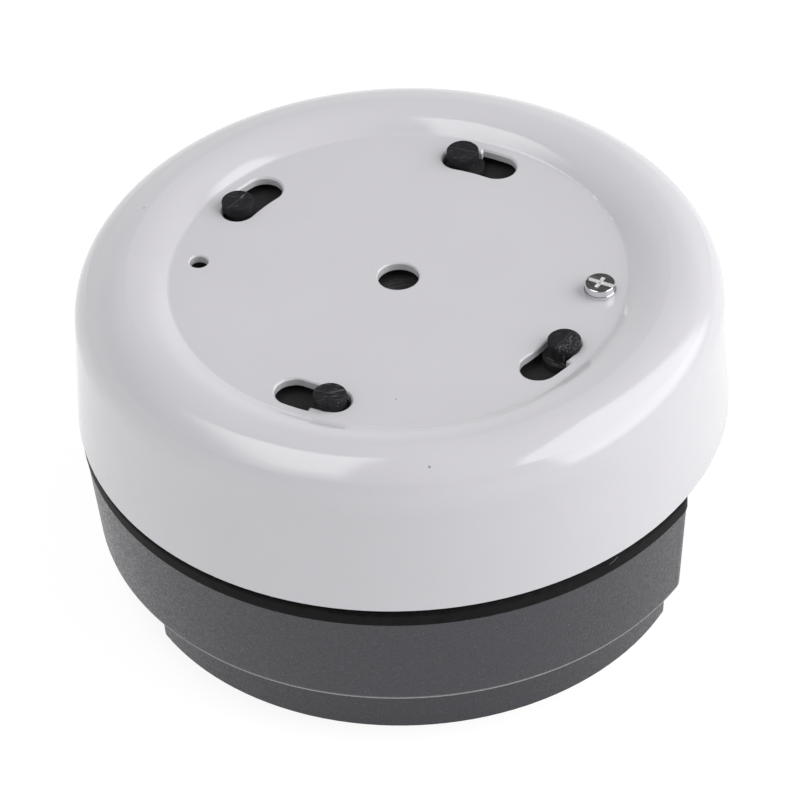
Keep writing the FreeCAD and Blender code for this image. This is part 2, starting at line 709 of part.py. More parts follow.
def make_sounder_chassis():
    tower = tower_cone(0, SEAM_Z, TOWER_TOP)
    tower = tower.makeFillet(TOWER_ROUND, edges_at(tower, TOWER_TOP))
    body = chassis_flange().fuse([tower, chassis_skirt()])
    body = body.fuse([turned(tower_rib(), angle) for angle in around(TOWER_RIBS, 0.0)])
    body = body.cut(tower_cone(TOWER_WALL, SEAM_Z - SKIRT_DEPTH - 1, PLATE_UNDER))

    lock_places = [polar(LOCK_CIRCLE, angle) for angle in LOCK_ANGLES]
    boss_low = GONG_UNDER - INSERT_LENGTH - 2
    added = [ring(SEAT_OUTER, SEAT_OUTER - SEAT_RING_WIDTH, SEAT_Z, PLATE_UNDER + 0.5)]
    added += [disc(LOCK_BOSS_RADIUS, boss_low, GONG_UNDER, place) for place in lock_places]
    added += [stud(angle) for angle in STUD_ANGLES]
    added += [board_post(angle) for angle in POST_ANGLES]
    body = body.fuse(added)

    shank_hole = M4_RADIUS + PASS_CLEARANCE
    tap_hole = SMALL_SCREW_RADIUS + THREAD_CLEARANCE
    cuts = sound_slots()
    cuts.append(seal_path(0))
    cuts.append(disc(INSERT_RADIUS, GONG_UNDER - INSERT_LENGTH, GONG_UNDER + 1, lock_places[0]))
    cuts.append(disc(shank_hole, boss_low - 1, GONG_UNDER, lock_places[0]))
    cuts.append(disc(shank_hole, GONG_UNDER - INSERT_LENGTH, GONG_UNDER + 1, lock_places[1]))
    cuts += [disc(shank_hole, SEAM_Z - 1, FLANGE_TOP + 1, polar(CHASSIS_SCREW_CIRCLE, angle))
             for angle in SCREW_ANGLES]
    cuts += [disc(tap_hole, BOARD_TOP - 1, BOARD_TOP + SMALL_SCREW_GRIP + 1, polar(POST_CIRCLE, angle))
             for angle in POST_ANGLES]
    cuts += [disc(tap_hole, SEAT_Z - 1, PLATE_UNDER + 0.5, polar(DRIVER_SCREW_CIRCLE, angle))
             for angle in SCREW_ANGLES]
    return body.cut(cuts).removeSplitter()


def make_chassis_screws():
    screw = pan_screw(PAN_HEAD_RADIUS, PAN_HEAD_HEIGHT, M4_RADIUS, FLANGE_THICK + CHASSIS_SCREW_GRIP)
    return Part.makeCompound([moved(screw, polar(CHASSIS_SCREW_CIRCLE, angle, FLANGE_TOP))
                              for angle in SCREW_ANGLES])


def small_screws(grip, circle, angles, seat_z):
    """Screws that point up, with their heads under seat_z."""
    screw = pan_screw(SMALL_HEAD_RADIUS, SMALL_HEAD_HEIGHT, SMALL_SCREW_RADIUS, grip)
    screw.rotate(Vector(0, 0, 0), Vector(1, 0, 0), 180)
    return Part.makeCompound([moved(screw, polar(circle, angle, seat_z)) for angle in angles])


def make_driver_screws():
    grip = FRAME_SHEET + GASKET_THICK + SEAT_RING_DEPTH - 0.5
    return small_screws(grip, DRIVER_SCREW_CIRCLE, SCREW_ANGLES, FRAME_TOP - FRAME_SHEET)


def make_board_screws():
    return small_screws(BOARD_THICK + SMALL_SCREW_GRIP, POST_CIRCLE, POST_ANGLES, BOARD_HEIGHT)


def driver_screw_holes(z0, z1):
    return [disc(SMALL_SCREW_RADIUS + PASS_CLEARANCE, z0, z1, polar(DRIVER_SCREW_CIRCLE, angle))
            for angle in SCREW_ANGLES]


def make_driver_gasket():
    gasket = ring(DRIVER_RADIUS, DRIVER_RADIUS - GASKET_WIDTH, FRAME_TOP, SEAT_Z)
    return gasket.cut(driver_screw_holes(FRAME_TOP - 1, SEAT_Z + 1))


SPIDER_OUTER = COIL_RADIUS + 11.5
SHELF_INNER = SPIDER_OUTER - 2.5


def make_driver_frame():
    """Pressed basket: flange, sloped wall with windows, shelf for the spider, and the floor."""
    top = FRAME_TOP
    sheet = FRAME_SHEET
    shelf = FRAME_FLOOR + FRAME_SHELF_RISE
    lip = DRIVER_RADIUS - FRAME_LIP
    bore = COIL_RADIUS + 3.0
    frame = revolved_outline([
        (bore, FRAME_FLOOR),
        (SHELF_INNER - 0.5, FRAME_FLOOR),
        (SHELF_INNER, shelf - sheet),
        (SPIDER_OUTER + 1, shelf - sheet),
        (lip, top - sheet),
        (DRIVER_RADIUS, top - sheet),
        (DRIVER_RADIUS, top),
        (lip - 0.6, top),
        (SPIDER_OUTER + 0.4, shelf),
        (SHELF_INNER - 0.6, shelf),
        (SHELF_INNER - 1.4, FRAME_FLOOR + sheet),
        (bore, FRAME_FLOOR + sheet),
    ])
    window = arc_slot((SPIDER_OUTER + lip) / 2 + 0.5, 3.2, -16, 16, shelf - 1, top + 1)
    cuts = [turned(window, angle) for angle in around(FRAME_WINDOWS, 0.0)]
    return frame.cut(cuts + driver_screw_holes(top - sheet - 1, top + 1))


def make_driver_cone():
    """Thin diaphragm: glued lip, half-roll surround, cone and dome."""
    rim = DRIVER_RADIUS - GASKET_WIDTH - 0.2
    outer = DRIVER_RADIUS - FRAME_LIP - 0.8
    inner = outer - SURROUND_WIDTH
    low_r = COIL_RADIUS + FORMER_THICK
    base = FRAME_TOP
    roll = (SURROUND_WIDTH / 2) ** 2 / (2 * SURROUND_RISE) + SURROUND_RISE / 2
    roll_z = base + SURROUND_RISE - roll
    half = math.degrees(math.asin(SURROUND_WIDTH / 2 / roll))
    low_z = base - CONE_DEPTH
    dome = low_r ** 2 / (2 * DOME_RISE) + DOME_RISE / 2
    dome_z = low_z + DOME_RISE - dome
    spread = math.degrees(math.asin(low_r / dome))

    def skin(lift):
        return [
            line(rim, base + lift, outer, base + lift),
            arc(outer - SURROUND_WIDTH / 2, roll_z + lift, roll, 90 - half, 90 + half),
            line(inner, base + lift, low_r, low_z + lift),
            arc(0, dome_z + lift, dome, 90 - spread, 90),
        ]

    upper = skin(CONE_THICK)
    lower = skin(0)
    tip = line(0, low_z + DOME_RISE + CONE_THICK, 0, low_z + DOME_RISE)
    edge = line(rim, base, rim, base + CONE_THICK)
    return revolved(upper + [tip] + lower[::-1] + [edge])


def make_driver_spider():
    inner = COIL_RADIUS + FORMER_THICK
    shelf = FRAME_FLOOR + FRAME_SHELF_RISE
    run = SHELF_INNER - inner - 1.0
    waves = 4
    upper = [(inner, shelf + SPIDER_THICK)]
    for index in range(1, waves):
        rise = SPIDER_WAVE if index % 2 else 0
        upper.append((inner + run * index / waves, shelf + SPIDER_THICK + rise))
    upper.append((SHELF_INNER - 1.0, shelf + SPIDER_THICK))
    upper.append((SPIDER_OUTER, shelf + SPIDER_THICK))
    lower = [(r, z - SPIDER_THICK) for r, z in reversed(upper)]
    return revolved_outline(upper + lower)


def make_voice_coil():
    inner = COIL_RADIUS
    former = COIL_RADIUS + FORMER_THICK
    winding = former + WINDING_THICK
    top = FRAME_TOP - CONE_DEPTH
    gap_middle = FRAME_FLOOR - TOP_PLATE_THICK / 2
    low = gap_middle - WINDING_HEIGHT / 2
    return revolved_outline([
        (inner, low - 0.5),
        (former, low - 0.5),
        (former, low),
        (winding, low),
        (winding, low + WINDING_HEIGHT),
        (former, low + WINDING_HEIGHT),
        (former, top),
        (inner, top),
    ])


def make_driver_top_plate():
    bore = COIL_RADIUS + FORMER_THICK + WINDING_THICK + MAGNET_GAP_OUTER
    return ring(TOP_PLATE_RADIUS, bore, FRAME_FLOOR - TOP_PLATE_THICK, FRAME_FLOOR)


def make_driver_magnet():
    top = FRAME_FLOOR - TOP_PLATE_THICK
    return ring(MAGNET_RADIUS, MAGNET_BORE, top - MAGNET_THICK, top)


def make_driver_yoke():
    pole = COIL_RADIUS - MAGNET_GAP
    plate_top = YOKE_UNDER + YOKE_THICK
    return revolved_outline([
        (0, YOKE_UNDER),
        (TOP_PLATE_RADIUS - YOKE_CHAMFER, YOKE_UNDER),
        (TOP_PLATE_RADIUS, YOKE_UNDER + YOKE_CHAMFER),
        (TOP_PLATE_RADIUS, plate_top),
        (pole, plate_top),
        (pole, FRAME_FLOOR - 0.5),
        (pole - 0.5, FRAME_FLOOR),
        (0, FRAME_FLOOR),
    ])


TAG_TOP = FRAME_TOP - FRAME_SHEET
TAG_RADIUS = DRIVER_RADIUS - 2.6


def make_driver_tag_strip():
    """Strip under the frame's lip, with two upright tags."""
    strip = block(TAG_RADIUS - 2.2, TAG_RADIUS + 2.2, -5, 5, TAG_TOP - 1.2, TAG_TOP)
    tags = []
    for side in (-1, 1):
        y = side * LEAD_SPACING
        tags.append(block(TAG_RADIUS - 0.4, TAG_RADIUS + 0.4, y - 1.2, y + 1.2, TAG_TOP - 3.5, TAG_TOP - 1.0))
    return turned(strip.fuse(tags).removeSplitter(), TAG_ANGLE)


CONNECTOR_RADIUS = TAG_RADIUS + 6.0
CONNECTOR_TOP = BOARD_TOP + CONNECTOR_HEIGHT


def make_driver_leads():
    """Two insulated leads, straight runs joined by tangent arcs."""
    top = TAG_TOP - 3.5
    low = CONNECTOR_TOP
    x0 = TAG_RADIUS
    x1 = CONNECTOR_RADIUS
    middle = (top + low) / 2
    swing = (x1 - x0) / 2
    rise = math.sqrt(LEAD_BEND ** 2 - (LEAD_BEND - swing) ** 2)
    turn = math.degrees(math.asin(rise / LEAD_BEND))
    path = Part.Wire([
        line(x0, top, x0, middle + rise),
        arc(x0 + LEAD_BEND, middle + rise, LEAD_BEND, 180, 180 + turn),
        arc(x1 - LEAD_BEND, middle - rise, LEAD_BEND, turn, 0),
        line(x1, middle - rise, x1, low),
    ])
    leads = []
    for side in (-1, 1):
        profile = Part.Wire(Part.makeCircle(LEAD_RADIUS, Vector(x0, 0, top), SPINDLE))
        lead = path.makePipeShell([profile], True, False)
        leads.append(turned(moved(lead, Vector(0, side * LEAD_SPACING, 0)), TAG_ANGLE))
    return Part.makeCompound(leads)


def make_lead_connector():
    x = CONNECTOR_RADIUS
    body = block(x - 2.9, x + 2.9, -5, 5, BOARD_TOP, CONNECTOR_TOP)
    key = block(x + 2.0, x + 3.5, -1.5, 1.5, BOARD_TOP, CONNECTOR_TOP - 1)
    return turned(body.fuse(key).removeSplitter(), TAG_ANGLE)


def board_flat():
    """Distance of the board's straight edge from the axis, which leaves room for the gland's nut."""
    return entry_seat().x - ENTRY_WALL - GLAND_ROOM


def make_circuit_board():
    board = disc(BOARD_RADIUS, BOARD_HEIGHT, BOARD_TOP)
    board = board.cut(block(board_flat(), BOARD_RADIUS + 1, -BOARD_RADIUS, BOARD_RADIUS, 0, SEAM_Z))
    hole = SMALL_SCREW_RADIUS + PASS_CLEARANCE
    return board.cut([disc(hole, BOARD_HEIGHT - 1, BOARD_TOP + 1, polar(POST_CIRCLE, angle))
                      for angle in POST_ANGLES])


def terminal_centres():
    first = -(TERMINALS - 1) * TERMINAL_PITCH / 2
    return [first + index * TERMINAL_PITCH for index in range(TERMINALS)]


CAGE_HALF = 1.8
CAGE_FRONT = 3.2
CAGE_BACK = 8.8
CAGE_LOW = 1.6
CAGE_TOP = 7.0
TERMINAL_SCREW_Y = (CAGE_FRONT + CAGE_BACK) / 2
TERMINAL_SCREW_RADIUS = 1.2
TERMINAL_HEAD_RADIUS = 1.8


def hung(shape):
    """Turns a piece drawn on a board that faces up, so that it hangs under the board."""
    copy = shape.copy()
    copy.rotate(Vector(0, 0, 0), Vector(1, 0, 0), 180)
    copy.translate(Vector(0, BLOCK_BACK_Y, BOARD_HEIGHT))
    return copy


def make_terminal_block():
    half = TERMINALS * TERMINAL_PITCH / 2 + BLOCK_END
    body = extruded([
        Vector(-half, 0, 0),
        Vector(-half, BLOCK_DEPTH, 0),
        Vector(-half, BLOCK_DEPTH, BLOCK_HEIGHT - 4),
        Vector(-half, BLOCK_DEPTH - 3.5, BLOCK_HEIGHT),
        Vector(-half, 0, BLOCK_HEIGHT),
    ], Vector(2 * half, 0, 0))
    cuts = []
    for x in terminal_centres():
        side = CAGE_HALF + CAGE_FIT
        cuts.append(block(x - side, x + side, CAGE_FRONT - CAGE_FIT, CAGE_BACK + CAGE_FIT,
                          CAGE_LOW, CAGE_TOP + CAGE_FIT))
        cuts.append(block(x - 1.5, x + 1.5, CAGE_BACK, BLOCK_DEPTH + 1, CAGE_LOW + 0.5, CAGE_LOW + 4.0))
        cuts.append(disc(TERMINAL_HEAD_RADIUS + PASS_CLEARANCE, CAGE_TOP, BLOCK_HEIGHT + 1,
                         Vector(x, TERMINAL_SCREW_Y, 0)))
    return hung(body.cut(cuts))


def make_terminal_clamps():
    cages = []
    for x in terminal_centres():
        cage = block(x - CAGE_HALF, x + CAGE_HALF, CAGE_FRONT, CAGE_BACK, CAGE_LOW, CAGE_TOP)
        mouth = block(x - CAGE_HALF + CAGE_WALL, x + CAGE_HALF - CAGE_WALL, CAGE_FRONT - 1, CAGE_BACK + 1,
                      CAGE_LOW + CAGE_WALL, CAGE_TOP - 2 * CAGE_WALL)
        hole = disc(TERMINAL_SCREW_RADIUS + THREAD_CLEARANCE, CAGE_LOW + 2 * CAGE_WALL, CAGE_TOP + 1,
                    Vector(x, TERMINAL_SCREW_Y, 0))
        cages.append(hung(cage.cut([mouth, hole])))
    return Part.makeCompound(cages)


def make_terminal_screws():
    shank_low = CAGE_TOP - 2.5
    head_low = CAGE_TOP + 0.8
    head_top = head_low + 1.6
    screws = []
    for x in terminal_centres():
        place = Vector(x, TERMINAL_SCREW_Y, 0)
        screw = disc(TERMINAL_SCREW_RADIUS, shank_low, head_low, place)
        screw = screw.fuse(disc(TERMINAL_HEAD_RADIUS, head_low, head_top, place))
        slot = block(x - 2, x + 2, place.y - 0.3, place.y + 0.3, head_top - 0.8, head_top + 1)
        screws.append(hung(screw.cut(slot)))
    return Part.makeCompound(screws)


def make_filter_capacitors():
    groove = 0.5
    z = BOARD_TOP
    radius = CAPACITOR_RADIUS
    can = revolved_outline([
        (0, z),
        (radius, z),
        (radius, z + 1.5),
        (radius - groove, z + 2.2),
        (radius, z + 2.9),
        (radius, z + CAPACITOR_HEIGHT - 0.6),
        (radius - 0.6, z + CAPACITOR_HEIGHT),
        (radius - 1.4, z + CAPACITOR_HEIGHT),
        (radius - 1.6, z + CAPACITOR_HEIGHT - 0.3),
        (0, z + CAPACITOR_HEIGHT - 0.3),
    ])
    circle = BOARD_RADIUS - CAPACITOR_INSET
    return Part.makeCompound([moved(can, polar(circle, angle)) for angle in CAPACITOR_ANGLES])


def make_inductor():
    flange = 1.3
    z = BOARD_TOP
    top = z + INDUCTOR_HEIGHT
    winding = INDUCTOR_RADIUS - 0.8
    drum = revolved_outline([
        (0, z),
        (INDUCTOR_RADIUS, z),
        (INDUCTOR_RADIUS, z + flange),
        (winding, z + flange),
        (winding, top - flange),
        (INDUCTOR_RADIUS, top - flange),
        (INDUCTOR_RADIUS, top),
        (0, top),
    ])
    return moved(drum, polar(BOARD_RADIUS - INDUCTOR_INSET, INDUCTOR_ANGLE))


def gull_wing_chip(length, width, leads, place):
    """Moulded chip on the board's top, with bent leads along both long sides."""
    z = BOARD_TOP
    body = block(-length / 2, length / 2, -width / 2, width / 2, z + 0.2, z + 2.0)
    body = body.makeChamfer(0.3, edges_at(body, z + 2.0))
    pitch = 1.27
    first = -(leads - 1) * pitch / 2
    wings = []
    for index in range(leads):
        x = first + index * pitch - 0.2
        for side in (-1, 1):
            start = side * (width / 2 - 0.2)
            knee = side * (width / 2 + 0.5)
            toe = side * (width / 2 + 1.3)
            thick = side * 0.2
            wings.append(extruded([
                Vector(x, start, z + 1.2),
                Vector(x, knee + thick, z + 1.2),
                Vector(x, knee + thick, z + 0.2),
                Vector(x, toe, z + 0.2),
                Vector(x, toe, z),
                Vector(x, knee, z),
                Vector(x, knee, z + 1.0),
                Vector(x, start, z + 1.0),
            ], Vector(0.4, 0, 0)))
    return moved(body.fuse(wings), place)


def make_amplifier_chip():
    return gull_wing_chip(10.3, 7.5, 8, polar(BOARD_RADIUS - AMPLIFIER_INSET, AMPLIFIER_ANGLE))


def make_controller_chip():
    return gull_wing_chip(5.0, 4.0, 4, Vector(board_flat() - CONTROLLER_INSET, CONTROLLER_Y, 0))


HEADER_START = polar(BOARD_RADIUS - HEADER_INSET, HEADER_ANGLE)


def header_pin_places():
    return [HEADER_START + Vector(column * HEADER_PITCH, row * HEADER_PITCH, 0)
            for column in range(HEADER_COLUMNS) for row in (0, 1)]


def make_link_header():
    x0 = HEADER_START.x
    y0 = HEADER_START.y
    side = HEADER_PITCH / 2
    x1 = x0 + (HEADER_COLUMNS - 1) * HEADER_PITCH
    body = block(x0 - side, x1 + side, y0 - side, y0 + 3 * side, BOARD_TOP, BOARD_TOP + HEADER_PITCH)
    half = PIN_SIDE / 2
    return body.cut([block(p.x - half, p.x + half, p.y - half, p.y + half, BOARD_TOP - 1, BOARD_TOP + 4)
                     for p in header_pin_places()])


def make_link_pins():
    half = PIN_SIDE / 2
    top = BOARD_TOP + PIN_HEIGHT
    return Part.makeCompound([block(p.x - half, p.x + half, p.y - half, p.y + half, BOARD_TOP, top)
                              for p in header_pin_places()])


def make_link_jumpers():
    half = PIN_SIDE / 2
    x0 = HEADER_START.x
    y0 = HEADER_START.y
    low = BOARD_TOP + HEADER_PITCH + 0.2
    jumpers = []
    for column in JUMPER_COLUMNS:
        x = x0 + column * HEADER_PITCH
        body = block(x - 1.15, x + 1.15, y0 - 1.1, y0 + HEADER_PITCH + 1.1, low, BOARD_TOP + PIN_HEIGHT + 0.6)
        wells = [block(x - half, x + half, y - half, y + half, low - 1, BOARD_TOP + PIN_HEIGHT)
                 for y in (y0, y0 + HEADER_PITCH)]
        jumpers.append(body.cut(wells))
    return Part.makeCompound(jumpers)


PIECES = {
    "gong": make_gong,
    "lock_screw": make_lock_screw,
    "lock_washer": make_lock_washer,
    "lock_insert": make_lock_insert,
    "sounder_chassis": make_sounder_chassis,
    "chassis_seal": make_chassis_seal,
    "chassis_screws": make_chassis_screws,
    "base_housing": make_base_housing,
    "chassis_inserts": make_chassis_inserts,
    "rear_grommet": make_rear_grommet,
    "driver_gasket": make_driver_gasket,
    "driver_frame": make_driver_frame,
    "driver_cone": make_driver_cone,
    "driver_spider": make_driver_spider,
    "voice_coil": make_voice_coil,
    "driver_top_plate": make_driver_top_plate,
    "driver_magnet": make_driver_magnet,
    "driver_yoke": make_driver_yoke,
    "driver_tag_strip": make_driver_tag_strip,
    "driver_screws": make_driver_screws,
    "driver_leads": make_driver_leads,
    "lead_connector": make_lead_connector,
    "circuit_board": make_circuit_board,
    "board_screws": make_board_screws,
    "terminal_block": make_terminal_block,
    "terminal_clamps": make_terminal_clamps,
    "terminal_screws": make_terminal_screws,
    "filter_capacitors": make_filter_capacitors,
    "inductor": make_inductor,
    "amplifier_chip": make_amplifier_chip,
    "controller_chip": make_controller_chip,
    "link_header": make_link_header,
    "link_pins": make_link_pins,
    "link_jumpers": make_link_jumpers,
}

os.makedirs("parts", exist_ok=True)
for node, make in PIECES.items():
    shape = make()
    shape.exportStep("parts/" + node + ".step")
    print(node, len(shape.Solids), shape.isValid(), round(shape.Volume, 1))
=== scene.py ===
import json
import math

import bmesh
import bpy
from mathutils import Matrix, Vector


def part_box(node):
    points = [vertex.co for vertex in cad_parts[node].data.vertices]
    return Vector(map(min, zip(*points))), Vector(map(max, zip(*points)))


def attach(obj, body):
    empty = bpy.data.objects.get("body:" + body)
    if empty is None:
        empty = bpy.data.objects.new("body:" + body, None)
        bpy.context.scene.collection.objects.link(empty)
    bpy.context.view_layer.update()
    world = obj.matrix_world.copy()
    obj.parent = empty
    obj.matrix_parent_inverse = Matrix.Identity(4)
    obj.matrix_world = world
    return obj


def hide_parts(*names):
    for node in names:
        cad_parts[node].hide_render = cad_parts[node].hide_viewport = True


# Electronic alarm bell: its finishes, the studio and the camera. Lengths are in metres, angles in degrees.

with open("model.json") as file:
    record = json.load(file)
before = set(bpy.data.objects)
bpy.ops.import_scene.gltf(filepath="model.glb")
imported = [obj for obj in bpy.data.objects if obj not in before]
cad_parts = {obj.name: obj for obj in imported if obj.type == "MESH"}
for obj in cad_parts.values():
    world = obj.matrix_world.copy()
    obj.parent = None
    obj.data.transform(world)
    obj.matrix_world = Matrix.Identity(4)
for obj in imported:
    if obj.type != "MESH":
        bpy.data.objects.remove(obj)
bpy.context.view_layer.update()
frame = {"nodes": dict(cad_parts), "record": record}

# Camera, worked out from the coaxial circles of the bell: lens and sensor in millimetres, its angles, its
# place along its own axes before the roll, and how far it sees
LENS = 226.77
SENSOR = 36.0
CAMERA_ELEVATION = 40.6055
CAMERA_ROLL = 2.6807
CAMERA_RIGHT = -0.0009378
CAMERA_UP = 0.0308403
CAMERA_BACK = 1.18843
CAMERA_REACH = 50.0

# Light of the room, as the direction of each side and its strength
ROOM_SIDES = (
    ((0.0, -1.0, 0.0), 0.52),
    ((-1.0, 0.0, 0.0), 0.95),
    ((1.0, 0.0, 0.0), 0.6),
    ((0.0, 1.0, 0.0), 0.3),
)

# What gloss mirrors of the room: its strength low down and high up, and the rise over which it changes
MIRRORED_LOW = 0.8
MIRRORED_HIGH = 0.08
MIRRORED_RISE = (0.3, 0.56)

# Floor: its size, its own colour, the one that the camera and gloss see, and the glow that is added to that
FLOOR_SIZE = 12.0
FLOOR_COLOR = (0.95, 0.95, 0.95)
FLOOR_SEEN = (0.22, 0.22, 0.22)
FLOOR_GLOW = 0.86

# Softboxes: their fades are the shares of the width and the depth that fade at the first and last edge
TOP_BOX = {
    "centre": (-0.62, -0.05, 1.38),
    "width": 0.95,
    "depth": 1.17,
    "turns": (0.0, 0.0, -17.0),
    "radiance": 2.45,
    "fades": ((0.6, 0.12), (0.3, 0.06)),
}
SIDE_BOX = {
    "centre": (1.0, -0.12, 1.2),
    "width": 2.3,
    "depth": 1.65,
    "turns": (0.0, 90.0, 0.0),
    "radiance": 2.3,
    "fades": ((0.15, 0.15), (0.15, 0.15)),
}

# Power of a softbox for each unit of its radiance and area
POWER_PER_RADIANCE = 4

# Heights of the cover's flat face, of the stud heads' top, of the lock screw's seat and of its head
FACE_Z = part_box("lock_washer")[0].z
HEAD_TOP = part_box("sounder_chassis")[1].z
SCREW_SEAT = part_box("lock_washer")[1].z
SCREW_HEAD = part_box("lock_screw")[1].z - SCREW_SEAT

# Studs, counted against the clock from the back right one, as seen from above
STUD_CIRCLE = 0.04536
STUD_AXIS = 105.8
STUD_HALF_ANGLE = 36.85
STUD_ANGLES = [STUD_AXIS + side + turn for turn in (0, 180) for side in (-STUD_HALF_ANGLE, STUD_HALF_ANGLE)]
HEAD_RADIUS = 0.00375
SCRATCHED_STUD = 2
WORN_STUD = 3

# Keyholes: the sheet that they go through, the radius at the entry, the reach past the stud circle where
# they are narrow, and the turns from the stud to the entry, to the step and to the narrow end
SHEET = 0.002
ENTRY_RADIUS = 0.00425
NECK_REACH = 0.00305
ENTRY_TURN = 11.3
STEP_TURN = 4.3
LOCK_TURN = 1.2
HOLE_BEVEL = 0.0004
CUT_BELOW_FACE = SHEET * 1.5

# Straight pieces for each round stretch of a keyhole's edge
WIDE_STEPS = 12
NARROW_STEPS = 12
NARROW_END_STEPS = 32
INNER_STEPS = 24
ENTRY_STEPS = 36

# Lock screw: radius and angle of its axis, the share of the head's height that stays, its turn, and the
# radius within which its slot is matt and painted whiter as a highlight
SCREW_PLACE = (0.04596, -10.8)
SCREW_FLATTEN = 0.66
SCREW_TURN = 22.0
SCREW_CORE = 0.0032

# Levels that the plastics' finishes follow. What lies above INSIDE_Z shows through the cover's holes, and
# its lighter black is painted light in the shade under the cover.
# FOOT_TOP is the top of the base's foot, and BAND_EDGE is the rounding of the band above it.
INSIDE_Z = 0.05
FOOT_TOP = 0.0143
BAND_EDGE = 0.0007

# Specks under the paint, as radius, angle, height and size
SPECKS = (
    (0.0677, -86.0, 0.0792, 0.00042),
    (0.04266, -92.4, 0.0775, 0.00028),
    (0.06282, 156.25, 0.0805, 0.0003),
)

# Short pale scratches on the black moulding, as x, y, height, turn, length and width
CHASSIS_SCRATCHES = (
    (-0.03497, 0.02874, 0.0798, 59.0, 0.0014, 0.00034),
    (0.0327, -0.02918, 0.0755, -43.0, 0.0021, 0.00016),
    (0.03535, -0.02949, 0.0755, -61.0, 0.0022, 0.0002),
    (0.03585, -0.03142, 0.0755, -50.0, 0.0024, 0.00022),
    (0.03368, -0.03099, 0.0735, -40.0, 0.0022, 0.00016),
)

# The scratch on the chassis ring: radius, angle and height, its rise, its length and its width
RING_SCRATCH_PLACE = (0.07448, -53.1, 0.04184)
RING_SCRATCH_RISE = 0.25
RING_SCRATCH_LENGTH = 0.003
RING_SCRATCH_WIDTH = 0.00014

# Range that nearly all values of a noise lie in
NOISE_LOW = 0.3
NOISE_HIGH = 0.7

# Directions, and what the cut of the keyholes needs
UPRIGHT = Vector((0.0, 0.0, 1.0))
LEVEL_ONLY = (1.0, 1.0, 0.0)
NORMAL_STORE = "exact_normal"
WELD_DISTANCE = 0.0000001


def polar(radius, degrees, z=0.0):
    angle = math.radians(degrees)
    return Vector((radius * math.cos(angle), radius * math.sin(angle), z))


def toned(color, factor):
    return tuple(channel * factor for channel in color)


class Nodes:
    """Short ways to add nodes to a tree, whose values are numbers or the outputs of other nodes."""

    def __init__(self, tree):
        self.tree = tree

    def fill(self, socket, value):
        if isinstance(value, bpy.types.NodeSocket):
            self.tree.links.new(value, socket)
        else:
            socket.default_value = value

    def node(self, kind, inputs=None, **properties):
        made = self.tree.nodes.new("ShaderNode" + kind)
        for name, value in properties.items():
            setattr(made, name, value)
        for key, value in (inputs or {}).items():
            self.fill(made.inputs[key], value)
        return made

    def math(self, operation, a, b=0.0, c=0.0):
        return self.node("Math", {0: a, 1: b, 2: c}, operation=operation).outputs[0]

    def vector(self, operation, a, b=(0.0, 0.0, 0.0)):
        made = self.node("VectorMath", {0: a, 1: b}, operation=operation)
        scalar = operation in ("DOT_PRODUCT", "LENGTH", "DISTANCE")
        return made.outputs["Value" if scalar else "Vector"]

    def remap(self, value, start, end, low, high, curve="LINEAR"):
        """Goes from low at start to high at end, and stays level outside them."""
        inputs = {"Value": value, "From Min": start, "From Max": end, "To Min": low, "To Max": high}
        return self.node("MapRange", inputs, interpolation_type=curve).outputs["Result"]

    def rising(self, value, start, end, top=1.0, curve="LINEAR"):
        """Mask that is 0 up to start and top from end on."""
        return self.remap(value, start, end, 0.0, top, curve)

    def falling(self, value, start, end, top=1.0, curve="LINEAR"):
        """Mask that is top up to start and 0 from end on."""
        return self.remap(value, start, end, top, 0.0, curve)

    def joined(self, operation, masks):
        result = masks[0]
        for mask in masks[1:]:
            result = self.math(operation, result, mask)
        return result

    def all_of(self, *masks):
        return self.joined("MULTIPLY", masks)

    def any_of(self, *masks):
        return self.joined("MAXIMUM", masks)


